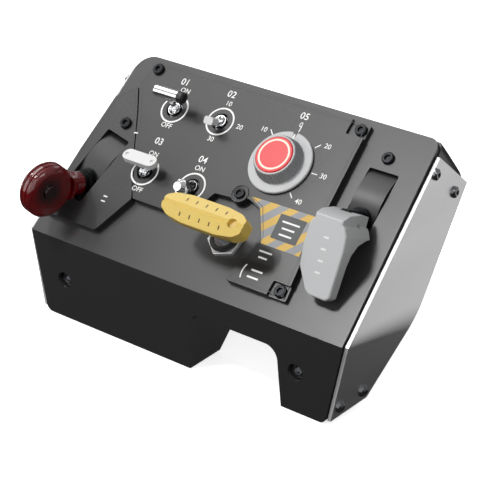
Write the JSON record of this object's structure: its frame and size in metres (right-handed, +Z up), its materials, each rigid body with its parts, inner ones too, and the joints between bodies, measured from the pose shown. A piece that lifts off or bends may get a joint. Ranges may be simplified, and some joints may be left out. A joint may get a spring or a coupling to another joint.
{
  "type": "flight control panel",
  "caption": "Sloping desk control panel with a wheel lever, a paddle lever, toggles, a rotary knob with push button and a pull-and-turn T-handle.",
  "frame": {"origin": "centre of the four-hole bolt pattern in the foot's lower face", "axes": "+X to the user's right, +Y away from the user, +Z up"},
  "size_m": [0.2152, 0.13, 0.1257],
  "materials": {
    "painted_black": "fine satin powder coat",
    "panel_grey": "fine matte coat",
    "satin_aluminium": "fine satin anodised",
    "dark_screw": "black zinc, satin",
    "steel": "turned",
    "chrome": "polished",
    "black_plastic": "fine moulded",
    "red_translucent": "clear dark red",
    "light_grey": "fine moulded",
    "red_button": "smooth",
    "yellow": "fine moulded",
    "white_plastic": "smooth",
    "board_green": "solder mask",
    "brass": "turned"
  },
  "bodies": {
    "housing": {"front_panel": "painted_black", "rear_shell": "painted_black", "side_plate_left": "satin_aluminium", "side_plate_right": "satin_aluminium", "side_plate_screws": "dark_screw", "centre_plate": "panel_grey", "gear_bezel": "panel_grey", "plate_screws": "dark_screw", "panel_screw": "dark_screw", "front_screws": "dark_screw", "wheel_bracket": "steel", "paddle_bracket": "steel", "bracket_screws": "dark_screw", "lever_bushes": "brass", "lever_sensors": "black_plastic", "toggle_bodies": "chrome", "toggle_nuts": "chrome", "selector_body": "black_plastic", "selector_nut": "steel", "brake_guide": "steel", "brake_nut": "chrome", "brake_ring": "black_plastic", "control_board": "board_green", "board_standoffs": "brass", "usb_socket": "steel"},
    "wheel_lever": {"wheel_drum": "black_plastic", "wheel_axle": "steel", "wheel_arm": "dark_screw", "wheel_neck": "red_translucent", "wheel_grip": "red_translucent", "wheel_hub": "red_translucent"},
    "paddle_lever": {"paddle_drum": "black_plastic", "paddle_axle": "steel", "paddle_arm": "dark_screw", "paddle_grip": "light_grey"},
    "bar_toggle": {"bar_toggle_lever": "chrome", "bar_toggle_bar": "chrome", "bar_toggle_cap": "black_plastic"},
    "tab_toggle": {"tab_toggle_lever": "chrome", "tab_toggle_tip": "white_plastic"},
    "flat_toggle": {"flat_toggle_lever": "chrome", "flat_toggle_paddle": "white_plastic"},
    "bat_toggle": {"bat_toggle_lever": "black_plastic", "bat_toggle_tip": "chrome"},
    "selector": {"selector_shaft": "steel", "selector_knob": "light_grey"},
    "button": {"knob_button": "red_button"},
    "brake_rod": {"brake_shaft": "steel"},
    "brake_grip": {"brake_handle": "yellow"}
  },
  "joints": [
    {"name": "wheel_lever_turn", "type": "hinge", "parent": "housing", "child": "wheel_lever", "pos_m": [-0.0847, 0.04115, 0.0608], "axis": [-0.9781, 0.1582, 0.1349], "range_deg": [0, 42]},
    {"name": "paddle_lever_turn", "type": "hinge", "parent": "housing", "child": "paddle_lever", "pos_m": [0.0786, 0.06422, 0.07691], "axis": [-1, 0, 0], "range_deg": [0, 40]},
    {"name": "bar_toggle_turn", "type": "hinge", "parent": "housing", "child": "bar_toggle", "pos_m": [-0.0568, 0.05191, 0.10847], "axis": [1, 0, 0], "range_deg": [0, 39]},
    {"name": "tab_toggle_turn", "type": "hinge", "parent": "housing", "child": "tab_toggle", "pos_m": [-0.0254, 0.05267, 0.10912], "axis": [-1, 0, 0], "range_deg": [0, 39]},
    {"name": "flat_toggle_turn", "type": "hinge", "parent": "housing", "child": "flat_toggle", "pos_m": [-0.053, 0.02184, 0.08285], "axis": [1, 0, 0], "range_deg": [0, 39]},
    {"name": "bat_toggle_turn", "type": "hinge", "parent": "housing", "child": "bat_toggle", "pos_m": [-0.0205, 0.02192, 0.08291], "axis": [-1, 0, 0], "range_deg": [0, 39]},
    {"name": "selector_turn", "type": "hinge", "parent": "housing", "child": "selector", "pos_m": [0.023, 0.04164, 0.1034], "axis": [0, 0.6487, -0.7611], "range_deg": [-45, 135]},
    {"name": "button_slide", "type": "slide", "parent": "selector", "child": "button", "axis": [0, 0.6487, -0.7611], "range_m": [0, 0.0015], "stiffness_N_per_m": 300, "springref_m": -0.0005},
    {"name": "brake_rod_slide", "type": "slide", "parent": "housing", "child": "brake_rod", "axis": [0, -0.6487, 0.7611], "range_m": [0, 0.025]},
    {"name": "brake_grip_turn", "type": "hinge", "parent": "brake_rod", "child": "brake_grip", "pos_m": [0.014, -0.00786, 0.08748], "axis": [0, -0.6487, 0.7611], "range_deg": [0, 90]}
  ]
}
